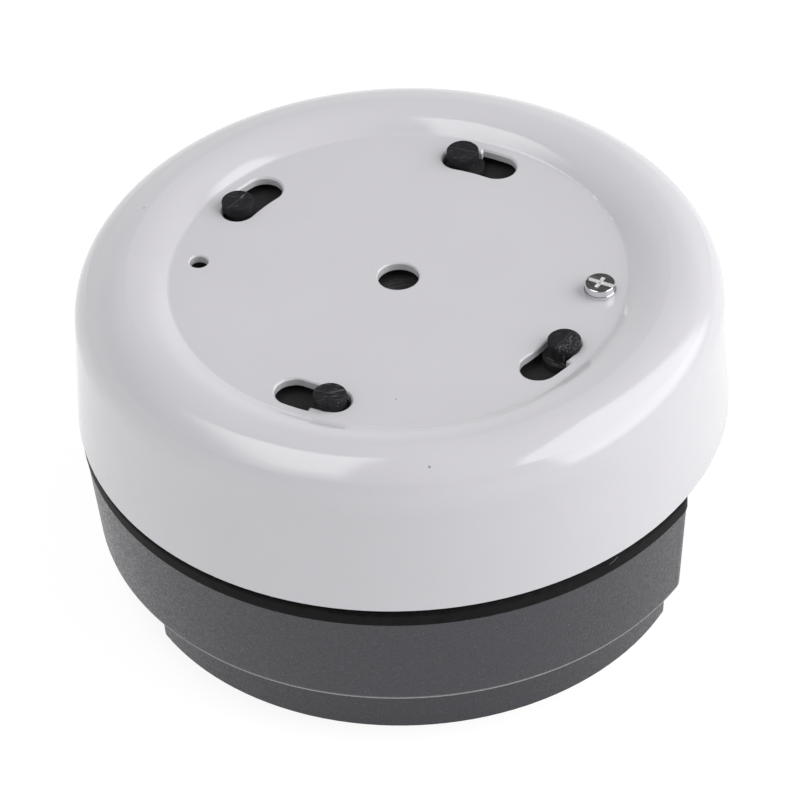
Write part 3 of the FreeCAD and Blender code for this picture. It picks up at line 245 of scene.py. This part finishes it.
class Finish(Nodes):
    """One procedural material, built up around its Principled shader."""

    def __init__(self, name, color, roughness, metallic=0.0, settings=None):
        self.material = bpy.data.materials.new(name)
        self.material.use_nodes = True
        super().__init__(self.material.node_tree)
        self.shader = self.tree.nodes["Principled BSDF"]
        self.color = color
        self.roughness = roughness
        self.put("Base Color", (*color, 1.0))
        self.put("Roughness", roughness)
        self.put("Metallic", metallic)
        for socket, value in (settings or {}).items():
            self.put(socket, value)
        self.place = self.node("TexCoord").outputs["Object"]
        self.normal = None

    def put(self, socket, value):
        self.fill(self.shader.inputs[socket], value)

    def noise(self, scale, detail=2.0, stretch=(1.0, 1.0, 1.0)):
        place = self.place
        if stretch != (1.0, 1.0, 1.0):
            place = self.vector("MULTIPLY", place, stretch)
        inputs = {"Vector": place, "Scale": scale, "Detail": detail}
        return self.node("TexNoise", inputs).outputs["Fac"]

    def cells(self, scale, feature="F1"):
        inputs = {"Vector": self.place, "Scale": scale}
        return self.node("TexVoronoi", inputs, feature=feature).outputs["Distance"]

    def wave(self, scale, direction):
        inputs = {"Vector": self.place, "Scale": scale}
        return self.node("TexWave", inputs, bands_direction=direction).outputs["Fac"]

    def weave(self, scale):
        """Threads that cross each other, along X and along Y."""
        return self.any_of(self.wave(scale, "X"), self.wave(scale, "Y"))

    def height(self):
        return self.node("SeparateXYZ", {0: self.place}).outputs["Z"]

    def from_upright(self, offset):
        """Length of an offset in the level plane."""
        return self.vector("LENGTH", self.vector("MULTIPLY", offset, LEVEL_ONLY))

    def mix(self, factor, a, b):
        colors = [value if isinstance(value, bpy.types.NodeSocket) else (*value, 1.0) for value in (a, b)]
        made = self.node("Mix", {0: factor, 6: colors[0], 7: colors[1]}, data_type="RGBA")
        return made.outputs[2]

    def mottle(self, spread, scale, detail=3.0):
        """Base colour that drifts about its value, as far as spread to each side."""
        drift = self.rising(self.noise(scale, detail), NOISE_LOW, NOISE_HIGH)
        color = self.mix(drift, toned(self.color, 1 - spread), toned(self.color, 1 + spread))
        self.put("Base Color", color)
        return color

    def uneven(self, spread, scale, detail=2.0, stretch=(1.0, 1.0, 1.0)):
        """Roughness that drifts about its value, as far as spread to each side."""
        drift = self.noise(scale, detail, stretch)
        low = self.roughness - spread
        high = self.roughness + spread
        rough = self.remap(drift, NOISE_LOW, NOISE_HIGH, low, high)
        self.put("Roughness", rough)
        return rough

    def raise_by(self, height, depth, strength=1.0):
        """Adds relief from a height of 0 to 1, with depth in metres."""
        inputs = {"Height": height, "Distance": depth, "Strength": strength}
        if self.normal:
            inputs["Normal"] = self.normal
        self.normal = self.node("Bump", inputs).outputs["Normal"]
        self.put("Normal", self.normal)

    def stroke(self, centre, along, facing, length, width):
        """1 on a short straight scratch through centre on a surface that faces that way, 0 elsewhere."""
        offset = self.vector("SUBTRACT", self.place, centre)
        across = Vector(along).cross(Vector(facing)).normalized()
        aside = self.math("ABSOLUTE", self.vector("DOT_PRODUCT", offset, across))
        reach = self.math("ABSOLUTE", self.vector("DOT_PRODUCT", offset, Vector(along).normalized()))
        near = self.falling(self.vector("LENGTH", offset), length, length * 1.01)
        thin = self.falling(aside, width * 0.4, width)
        short = self.falling(reach, length * 0.42, length * 0.5)
        return self.all_of(thin, short, near)


def added(name, work):
    """New object in the scene from the bmesh work."""
    mesh = bpy.data.meshes.new(name)
    work.to_mesh(mesh)
    work.free()
    piece = bpy.data.objects.new(name, mesh)
    bpy.context.scene.collection.objects.link(piece)
    return piece


def bow(centre, radius, start, stop, steps):
    """Points of an arc about centre, from one angle to another, without the last."""
    return [centre + polar(radius, start + (stop - start) * step / steps) for step in range(steps)]


def keyhole_outline(stud_angle, spread):
    """Edge of a keyhole, opened out by spread: wide from the entry to a step, then narrow, ends round."""
    axis = Vector((0, 0, 0))
    entry = stud_angle - ENTRY_TURN
    end = stud_angle + LOCK_TURN
    step = stud_angle - STEP_TURN + math.degrees(spread / STUD_CIRCLE)
    wide = ENTRY_RADIUS + spread
    inner = STUD_CIRCLE - wide
    outer = STUD_CIRCLE + NECK_REACH + spread
    half = (outer - inner) / 2
    outline = bow(axis, STUD_CIRCLE + wide, entry, step, WIDE_STEPS) + [polar(STUD_CIRCLE + wide, step)]
    outline += bow(axis, outer, step, end, NARROW_STEPS)
    outline += bow(polar(inner + half, end), half, end, end + 180, NARROW_END_STEPS)
    outline += bow(axis, inner, end, entry, INNER_STEPS)
    outline += bow(polar(STUD_CIRCLE, entry), wide, entry + 180, entry + 360, ENTRY_STEPS)
    return outline


def keyhole_cutter():
    """One object that holds the space of all four keyholes, with the flare of their edges."""
    work = bmesh.new()
    levels = (
        (FACE_Z - CUT_BELOW_FACE, 0.0),
        (FACE_Z - HOLE_BEVEL, 0.0),
        (FACE_Z + HOLE_BEVEL, 2 * HOLE_BEVEL),
    )
    for angle in STUD_ANGLES:
        rings = []
        for z, spread in levels:
            points = [point + z * UPRIGHT for point in keyhole_outline(angle, spread)]
            rings.append([work.verts.new(point) for point in points])
        work.faces.new(rings[0][::-1])
        work.faces.new(rings[-1])
        for low, high in zip(rings, rings[1:]):
            for index in range(len(low)):
                work.faces.new((low[index - 1], low[index], high[index], high[index - 1]))
    bmesh.ops.recalc_face_normals(work, faces=work.faces)
    return added("keyhole_cutter", work)


def store_normals(mesh):
    """Keeps the normal of each corner in an attribute, which welding and cutting carry over."""
    normals = [0.0] * (3 * len(mesh.loops))
    mesh.corner_normals.foreach_get("vector", normals)
    mesh.attributes.new(NORMAL_STORE, "FLOAT_VECTOR", "CORNER").data.foreach_set("vector", normals)


def restore_normals(mesh):
    """Gives the corners their kept normals. Corners that a cut made have zeros, and get automatic ones."""
    normals = [0.0] * (3 * len(mesh.loops))
    mesh.attributes[NORMAL_STORE].data.foreach_get("vector", normals)
    mesh.attributes.remove(mesh.attributes[NORMAL_STORE])
    mesh.normals_split_custom_set(list(zip(normals[::3], normals[1::3], normals[2::3])))


def subtract(piece, cutter):
    """Cuts the cutter's space out of a piece and removes the cutter."""
    cut = piece.modifiers.new("cut", "BOOLEAN")
    cut.operation = "DIFFERENCE"
    cut.solver = "EXACT"
    cut.object = cutter
    mesh = bpy.data.meshes.new_from_object(piece.evaluated_get(bpy.context.evaluated_depsgraph_get()))
    piece.modifiers.clear()
    piece.data = mesh
    bpy.data.objects.remove(cutter)


def dress_piece(piece, node, material):
    """Puts a piece in the place of a node, with the node's finish."""
    piece.data.materials.clear()
    piece.data.materials.append(material)
    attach(piece, "root")
    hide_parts(node)


def make_cover(material):
    """The cover's own sheet, with its keyholes opened out to their step."""
    source = frame["nodes"]["gong"].data.copy()
    store_normals(source)
    work = bmesh.new()
    work.from_mesh(source)
    bmesh.ops.remove_doubles(work, verts=work.verts, dist=WELD_DISTANCE)
    cover = added("cover", work)
    subtract(cover, keyhole_cutter())
    restore_normals(cover.data)
    dress_piece(cover, "gong", material)


def make_screw(material):
    """The lock screw, with the low head and the turn that it shows."""
    mesh = frame["nodes"]["lock_screw"].data.copy()
    for vertex in mesh.vertices:
        rise = vertex.co.z - SCREW_SEAT
        if rise > 0:
            vertex.co.z = SCREW_SEAT + rise * SCREW_FLATTEN
    place = Matrix.Translation(polar(*SCREW_PLACE))
    mesh.transform(place @ Matrix.Rotation(math.radians(SCREW_TURN), 4, "Z") @ place.inverted())
    screw = bpy.data.objects.new("cover_screw", mesh)
    bpy.context.scene.collection.objects.link(screw)
    dress_piece(screw, "lock_screw", material)


def gong_paint():
    """Gloss pale grey paint on pressed steel, with the slight orange peel and dust of a sprayed coat."""
    paint = Finish("gong_paint", (0.55, 0.54, 0.567), roughness=0.07, settings={"IOR": 1.55})
    color = paint.mottle(spread=0.012, scale=40.0)
    marks = [paint.falling(paint.cells(260.0), 0.03, 0.05, top=0.16)]
    for radius, angle, z, size in SPECKS:
        distance = paint.vector("DISTANCE", paint.place, polar(radius, angle, z))
        marks.append(paint.falling(distance, size * 0.4, size, top=0.75))
    paint.put("Base Color", paint.mix(paint.any_of(*marks), color, (0.12, 0.115, 0.11)))
    paint.uneven(spread=0.02, scale=60.0)
    paint.raise_by(paint.noise(260.0), depth=0.00003, strength=0.25)
    return paint


def stud_marks(plastic, index, angle, streaks):
    """Masks of the parting line and of the pale wear on the top of one stud head."""
    offset = plastic.vector("SUBTRACT", plastic.place, polar(STUD_CIRCLE, angle, HEAD_TOP))
    aside = plastic.vector("DOT_PRODUCT", offset, polar(1.0, angle))
    on_head = plastic.falling(plastic.vector("LENGTH", offset), HEAD_RADIUS, HEAD_RADIUS * 1.08)
    line = plastic.falling(plastic.math("ABSOLUTE", aside), 0.00008, 0.00022)
    wear = plastic.rising(streaks, 0.57, 0.7, top=0.9 if index == SCRATCHED_STUD else 0.3)
    if index == WORN_STUD:
        chips = plastic.rising(plastic.noise(2600.0, 6.0), 0.49, 0.62, top=0.9)
        outer_half = plastic.rising(aside, 0.0002, 0.0009)
        wear = plastic.any_of(plastic.all_of(wear, 0.4), plastic.all_of(chips, outer_half))
    return plastic.all_of(line, on_head), plastic.all_of(wear, on_head)


def centre_scuffs(plastic, streaks):
    """Mask of the faint scuffs on the face that shows through the centre hole."""
    from_axis = plastic.from_upright(plastic.place)
    return plastic.all_of(plastic.falling(from_axis, 0.0045, 0.006, top=0.3),
                          plastic.rising(streaks, 0.5, 0.62))


def chassis_scratches(plastic):
    """Masks of the single scratches on the moulding and on its ring."""
    marks = []
    for x, y, z, turn, length, width in CHASSIS_SCRATCHES:
        marks.append(plastic.stroke(Vector((x, y, z)), polar(1.0, turn), UPRIGHT, length, width))
    angle = RING_SCRATCH_PLACE[1]
    along = polar(1.0, angle + 90.0, RING_SCRATCH_RISE)
    marks.append(plastic.stroke(polar(*RING_SCRATCH_PLACE), along, polar(1.0, angle),
                                RING_SCRATCH_LENGTH, RING_SCRATCH_WIDTH))
    return marks


def chassis_plastic():
    """Black moulding: dusty stud heads with parting lines and scuffs, one scratch on the ring, and a
    lighter black painted into the shade under the cover.
    """
    plastic = Finish("chassis_plastic", (0.009, 0.009, 0.0098), roughness=0.5,
                     settings={"Specular IOR Level": 0.05})
    height = plastic.height()
    shade_lifted = plastic.rising(height, INSIDE_Z, INSIDE_Z + 0.001)
    on_heads = plastic.rising(height, FACE_Z, FACE_Z + 0.0004)
    dust = plastic.rising(plastic.noise(900.0, 4.0), 0.35, 0.65)
    dusty = plastic.mix(dust, (0.0155, 0.0155, 0.017), (0.022, 0.022, 0.024))
    streaks = plastic.noise(2400.0, 4.0, stretch=(0.16, 1.0, 1.0))
    marks = [stud_marks(plastic, index, angle, streaks) for index, angle in enumerate(STUD_ANGLES)]
    lines = plastic.any_of(*[line for line, _ in marks])
    wear = plastic.any_of(*[worn for _, worn in marks], centre_scuffs(plastic, streaks),
                          *chassis_scratches(plastic))

    # Painted light: above INSIDE_Z, in the shade under the cover, the black is lighter than on the ring.
    color = plastic.mix(shade_lifted, plastic.mottle(spread=0.2, scale=400.0), (0.03, 0.0295, 0.031))
    color = plastic.mix(on_heads, color, dusty)
    color = plastic.mix(plastic.all_of(lines, 0.6), color, (0.05, 0.05, 0.053))
    plastic.put("Base Color", plastic.mix(wear, color, (0.1, 0.1, 0.105)))
    plastic.raise_by(plastic.noise(1800.0, 3.0), depth=0.00003, strength=0.5)
    plastic.raise_by(lines, depth=0.00012)
    plastic.raise_by(wear, depth=0.00006)
    return plastic


def base_plastic():
    """Dark grey moulding from a finely spark-textured tool, with a painted highlight along the band's lower
    edge.
    """
    plastic = Finish("base_plastic", (0.0215, 0.0212, 0.027), roughness=0.36,
                     settings={"Specular IOR Level": 0.6, "Specular Tint": (0.94, 0.94, 1.0, 1.0)})
    color = plastic.mottle(spread=0.3, scale=2800.0, detail=4.0)
    flecks = plastic.falling(plastic.cells(480.0), 0.1, 0.17, top=0.4)
    color = plastic.mix(flecks, color, (0.085, 0.085, 0.093))
    height = plastic.height()
    # Painted highlight: a pale line on the band's rounded lower edge, standing in for the light that edge
    # reflects.
    below_band = plastic.falling(height, FOOT_TOP + BAND_EDGE * 0.6, FOOT_TOP + BAND_EDGE * 1.4)
    above_foot = plastic.rising(height, FOOT_TOP - 0.00002, FOOT_TOP + 0.00002)
    edge_highlight = plastic.all_of(below_band, above_foot)
    plastic.put("Base Color", plastic.mix(edge_highlight, color, (0.3, 0.3, 0.315)))
    plastic.uneven(spread=0.14, scale=1500.0)
    plastic.raise_by(plastic.noise(2300.0, 3.0), depth=0.0001)
    return plastic


def screw_recess(steel):
    """Mask of the slot and the recess in the lock screw's head."""
    top = SCREW_HEAD * SCREW_FLATTEN
    offset = steel.vector("SUBTRACT", steel.place, polar(*SCREW_PLACE, SCREW_SEAT))
    height = steel.vector("DOT_PRODUCT", offset, UPRIGHT)
    return steel.all_of(
        steel.rising(height, 0.0001, 0.0002),
        steel.falling(height, top - 0.00012, top - 0.00006),
        steel.falling(steel.from_upright(offset), SCREW_CORE - 0.0001, SCREW_CORE),
    )


def zinc_steel():
    """Bright zinc plate with fine tool marks, matt in the slot and the recess of the lock screw, where a
    whiter colour is a painted highlight.
    """
    steel = Finish("zinc_steel", (0.76, 0.77, 0.78), roughness=0.16, metallic=1.0)
    recess = screw_recess(steel)
    rough = steel.uneven(spread=0.08, scale=900.0, detail=3.0)
    steel.put("Roughness", steel.any_of(rough, steel.all_of(recess, 0.55)))
    # Painted highlight: the slot and the recess get a whiter metal colour than the plate.
    steel.put("Base Color", steel.mix(recess, steel.color, (0.97, 0.97, 0.97)))
    steel.raise_by(steel.noise(420.0, 1.0), depth=0.0002, strength=0.8)
    steel.raise_by(steel.noise(1600.0, 3.0, stretch=(1.0, 0.25, 1.0)), depth=0.00006, strength=0.6)
    return steel


def brass():
    """Turned brass with the diagonal knurl of a moulded-in insert."""
    metal = Finish("brass", (0.72, 0.5, 0.2), roughness=0.3, metallic=1.0)
    metal.mottle(spread=0.1, scale=500.0)
    metal.uneven(spread=0.08, scale=700.0)
    metal.raise_by(metal.wave(420.0, "DIAGONAL"), depth=0.00005, strength=0.5)
    return metal


def rubber():
    """Black rubber with a dull bloom."""
    soft = Finish("rubber", (0.02, 0.02, 0.021), roughness=0.72)
    soft.mottle(spread=0.3, scale=90.0)
    soft.raise_by(soft.noise(1200.0, 4.0), depth=0.00006, strength=0.5)
    return soft


def pressed_steel():
    """Plated sheet with the drawn streaks of pressing."""
    drawn = (1.0, 1.0, 0.1)
    steel = Finish("pressed_steel", (0.5, 0.49, 0.46), roughness=0.34, metallic=1.0)
    steel.mottle(spread=0.08, scale=140.0)
    steel.uneven(spread=0.1, scale=300.0, detail=3.0, stretch=drawn)
    steel.raise_by(steel.noise(900.0, 3.0, stretch=drawn), depth=0.00003, strength=0.5)
    return steel


def cone_film():
    """Black polymer film, slightly rippled."""
    film = Finish("cone_film", (0.022, 0.022, 0.025), roughness=0.33)
    film.mottle(spread=0.15, scale=200.0)
    film.raise_by(film.noise(150.0), depth=0.00015, strength=0.5)
    return film


def spider_cloth():
    """Open cloth stiffened with amber resin."""
    cloth = Finish("spider_cloth", (0.42, 0.26, 0.07), roughness=0.75)
    cloth.mottle(spread=0.2, scale=250.0)
    cloth.raise_by(cloth.weave(700.0), depth=0.00012)
    return cloth


def copper_wire():
    """Enamelled wire laid turn on turn."""
    wire = Finish("copper_wire", (0.62, 0.24, 0.1), roughness=0.28, metallic=1.0)
    wire.mottle(spread=0.1, scale=400.0)
    wire.raise_by(wire.wave(1300.0, "Z"), depth=0.00012)
    return wire


def ferrite():
    """Pressed and sintered, dark and grainy."""
    stone = Finish("ferrite", (0.035, 0.034, 0.036), roughness=0.5)
    stone.mottle(spread=0.25, scale=600.0, detail=5.0)
    stone.raise_by(stone.noise(1600.0, 5.0), depth=0.00006, strength=0.7)
    return stone


def tag_board():
    """Brown pressed fibre."""
    fibre = Finish("tag_board", (0.22, 0.09, 0.035), roughness=0.6)
    fibre.mottle(spread=0.25, scale=500.0, detail=5.0)
    fibre.raise_by(fibre.noise(1500.0, 4.0, stretch=(1.0, 0.2, 1.0)), depth=0.00005, strength=0.6)
    return fibre


def lead_sleeve():
    """Red sleeve with a faint print of the strands."""
    sleeve = Finish("lead_sleeve", (0.45, 0.018, 0.018), roughness=0.35)
    sleeve.mottle(spread=0.08, scale=300.0)
    sleeve.raise_by(sleeve.wave(500.0, "DIAGONAL"), depth=0.00003, strength=0.5)
    return sleeve


def moulded(name, color, roughness):
    """Plain moulded part: slight flow marks in the colour and a fine tool texture."""
    plastic = Finish(name, color, roughness)
    plastic.mottle(spread=0.07, scale=180.0)
    plastic.uneven(spread=0.06, scale=400.0)
    plastic.raise_by(plastic.noise(1400.0, 3.0), depth=0.00003, strength=0.5)
    return plastic


def connector_plastic():
    """Cream housing of the leads' connector."""
    return moulded("connector_plastic", (0.7, 0.67, 0.56), roughness=0.4)


def terminal_plastic():
    """Green housing of the field terminals."""
    return moulded("terminal_plastic", (0.02, 0.15, 0.055), roughness=0.38)


def jumper_plastic():
    """Blue caps of the link jumpers."""
    return moulded("jumper_plastic", (0.02, 0.05, 0.36), roughness=0.36)


def board_laminate():
    """Green lacquer over copper tracks, with the weave of the glass cloth."""
    board = Finish("board_laminate", (0.012, 0.1, 0.035), roughness=0.3)
    color = board.mottle(spread=0.1, scale=150.0)
    tracks = board.falling(board.cells(85.0, "DISTANCE_TO_EDGE"), 0.05, 0.09)
    pads = board.falling(board.cells(130.0), 0.09, 0.12)
    color = board.mix(tracks, color, (0.022, 0.17, 0.06))
    board.put("Base Color", board.mix(pads, color, (0.55, 0.55, 0.5)))
    board.raise_by(board.weave(420.0), depth=0.00003, strength=0.3)
    board.raise_by(tracks, depth=0.00004)
    return board


def capacitor_sleeve():
    """Black shrunk sleeve, with the bare aluminium of the can's end on top."""
    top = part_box("filter_capacitors")[1].z
    can = Finish("capacitor_sleeve", (0.014, 0.015, 0.028), roughness=0.3)
    color = can.mottle(spread=0.12, scale=250.0)
    bare = can.rising(can.height(), top - 0.0007, top - 0.0006)
    can.put("Base Color", can.mix(bare, color, (0.7, 0.7, 0.7)))
    can.put("Metallic", bare)
    can.raise_by(can.noise(500.0, 3.0), depth=0.00005, strength=0.4)
    return can


def chip_epoxy(node, lead_reach):
    """Black moulded epoxy, with tinned leads that reach past the body's long sides, if it has any."""
    low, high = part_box(node)
    epoxy = Finish("chip_epoxy_" + node, (0.016, 0.016, 0.017), roughness=0.55)
    color = epoxy.mottle(spread=0.2, scale=500.0, detail=4.0)
    epoxy.raise_by(epoxy.noise(1800.0, 4.0), depth=0.00004, strength=0.6)
    if lead_reach:
        half = (high.y - low.y) / 2 - lead_reach
        offset = epoxy.vector("SUBTRACT", epoxy.place, (low + high) / 2)
        aside = epoxy.math("ABSOLUTE", epoxy.vector("DOT_PRODUCT", offset, (0.0, 1.0, 0.0)))
        tinned = epoxy.rising(aside, half, half + 0.00005)
        epoxy.put("Base Color", epoxy.mix(tinned, color, (0.62, 0.62, 0.6)))
        epoxy.put("Metallic", tinned)
    return epoxy


FINISHES = {
    "gong_paint": gong_paint,
    "zinc_steel": zinc_steel,
    "brass": brass,
    "chassis_plastic": chassis_plastic,
    "base_plastic": base_plastic,
    "rubber": rubber,
    "pressed_steel": pressed_steel,
    "cone_film": cone_film,
    "spider_cloth": spider_cloth,
    "copper_wire": copper_wire,
    "ferrite": ferrite,
    "tag_board": tag_board,
    "lead_sleeve": lead_sleeve,
    "connector_plastic": connector_plastic,
    "board_laminate": board_laminate,
    "terminal_plastic": terminal_plastic,
    "capacitor_sleeve": capacitor_sleeve,
    "jumper_plastic": jumper_plastic,
}

# Nodes of black epoxy, and how far their leads reach past the body
CHIP_LEAD_REACH = {"amplifier_chip": 0.0013, "controller_chip": 0.0013, "link_header": 0.0}


def dress_nodes():
    """Gives each node of the frame its finish, and returns the finishes by slot."""
    made = {slot: make().material for slot, make in FINISHES.items()}
    for part in frame["record"]["subparts"]:
        node = part["node"]
        if node in CHIP_LEAD_REACH:
            material = chip_epoxy(node, CHIP_LEAD_REACH[node]).material
        else:
            material = made[part["material_slot"]]
        for slot in frame["nodes"][node].material_slots:
            slot.material = material
    return made


def make_camera():
    """Long lens above the front, rolled a little and set a little aside, as in the photograph."""
    elevation = math.radians(CAMERA_ELEVATION)
    roll = math.radians(CAMERA_ROLL)
    right = Vector((1, 0, 0))
    up = Vector((0, math.sin(elevation), math.cos(elevation)))
    back = right.cross(up)
    rolled_right = math.cos(roll) * right - math.sin(roll) * up
    rolled_up = math.sin(roll) * right + math.cos(roll) * up
    matrix = Matrix((rolled_right, rolled_up, back)).transposed().to_4x4()
    matrix.translation = CAMERA_RIGHT * right + CAMERA_UP * up + CAMERA_BACK * back
    data = bpy.data.cameras.new("camera")
    data.lens = LENS
    data.sensor_width = SENSOR
    data.clip_end = CAMERA_REACH
    camera = bpy.data.objects.new("camera", data)
    camera.matrix_world = matrix
    bpy.context.scene.collection.objects.link(camera)
    bpy.context.scene.camera = camera


def softbox(name, centre, width, depth, turns, radiance, fades):
    """Rectangular light that shines along its own -Z and fades towards its edges."""
    data = bpy.data.lights.new(name, "AREA")
    data.shape = "RECTANGLE"
    data.size = width
    data.size_y = depth
    data.energy = radiance * width * depth * POWER_PER_RADIANCE
    data.use_nodes = True
    nodes = Nodes(data.node_tree)
    place = nodes.node("SeparateXYZ", {0: nodes.node("NewGeometry").outputs["Parametric"]})
    masks = []
    for axis, (first, last) in zip("XY", fades):
        share = place.outputs[axis]
        masks.append(nodes.rising(share, 0.0, first, curve="SMOOTHSTEP"))
        masks.append(nodes.falling(share, 1.0 - last, 1.0, curve="SMOOTHSTEP"))
    nodes.fill(nodes.tree.nodes["Emission"].inputs["Strength"], nodes.all_of(*masks))
    light = bpy.data.objects.new(name, data)
    light.location = centre
    light.rotation_euler = [math.radians(turn) for turn in turns]
    light.visible_camera = False
    bpy.context.scene.collection.objects.link(light)


def make_world():
    """White to the camera past the floor, the mirrored room to gloss, and the room's light to the rest."""
    world = bpy.data.worlds.new("studio")
    world.use_nodes = True
    nodes = Nodes(world.node_tree)
    rays = nodes.node("LightPath").outputs
    direction = nodes.node("TexCoord").outputs["Generated"]
    strength = 0.0
    for side, light in ROOM_SIDES:
        facing = nodes.math("MAXIMUM", nodes.vector("DOT_PRODUCT", direction, side), 0.0)
        strength = nodes.math("MULTIPLY_ADD", facing, light, strength)
    rise = nodes.vector("DOT_PRODUCT", direction, UPRIGHT)
    mirrored = nodes.remap(rise, *MIRRORED_RISE, MIRRORED_LOW, MIRRORED_HIGH)
    watched = nodes.any_of(rays["Is Camera Ray"], rays["Is Transmission Ray"])
    for seen, level in ((rays["Is Glossy Ray"], mirrored), (watched, 1.0)):
        strength = nodes.node("Mix", {0: seen, 2: strength, 3: level}).outputs[0]
    background = nodes.tree.nodes["Background"]
    nodes.fill(background.inputs["Color"], (1.0, 1.0, 1.0, 1.0))
    nodes.fill(background.inputs["Strength"], strength)
    bpy.context.scene.world = world


def floor_material():
    """Pale floor that keeps the shadow, and glows up to white for the rays that watch it."""
    material = bpy.data.materials.new("floor")
    material.use_nodes = True
    nodes = Nodes(material.node_tree)
    nodes.tree.nodes.remove(nodes.tree.nodes["Principled BSDF"])
    rays = nodes.node("LightPath").outputs
    watched = nodes.any_of(rays["Is Camera Ray"], rays["Is Glossy Ray"], rays["Is Transmission Ray"])
    lit = nodes.node("BsdfDiffuse", {"Color": (*FLOOR_COLOR, 1.0)}).outputs[0]
    seen = nodes.node("BsdfDiffuse", {"Color": (*FLOOR_SEEN, 1.0)}).outputs[0]
    glow = nodes.node("Emission", {"Strength": FLOOR_GLOW}).outputs[0]
    bright = nodes.node("AddShader", {0: seen, 1: glow}).outputs[0]
    mixed = nodes.node("MixShader", {0: watched, 1: lit, 2: bright}).outputs[0]
    nodes.fill(nodes.tree.nodes["Material Output"].inputs["Surface"], mixed)
    return material


def make_floor():
    half = FLOOR_SIZE / 2
    corners = [(-half, -half, 0), (half, -half, 0), (half, half, 0), (-half, half, 0)]
    mesh = bpy.data.meshes.new("floor")
    mesh.from_pydata(corners, [], [(0, 1, 2, 3)])
    mesh.materials.append(floor_material())
    floor = bpy.data.objects.new("floor", mesh)
    bpy.context.scene.collection.objects.link(floor)


materials = dress_nodes()
make_cover(materials["gong_paint"])
make_screw(materials["zinc_steel"])
make_camera()
softbox("top_box", **TOP_BOX)
softbox("side_box", **SIDE_BOX)
make_world()
make_floor()
bpy.context.scene.view_settings.view_transform = "Standard"
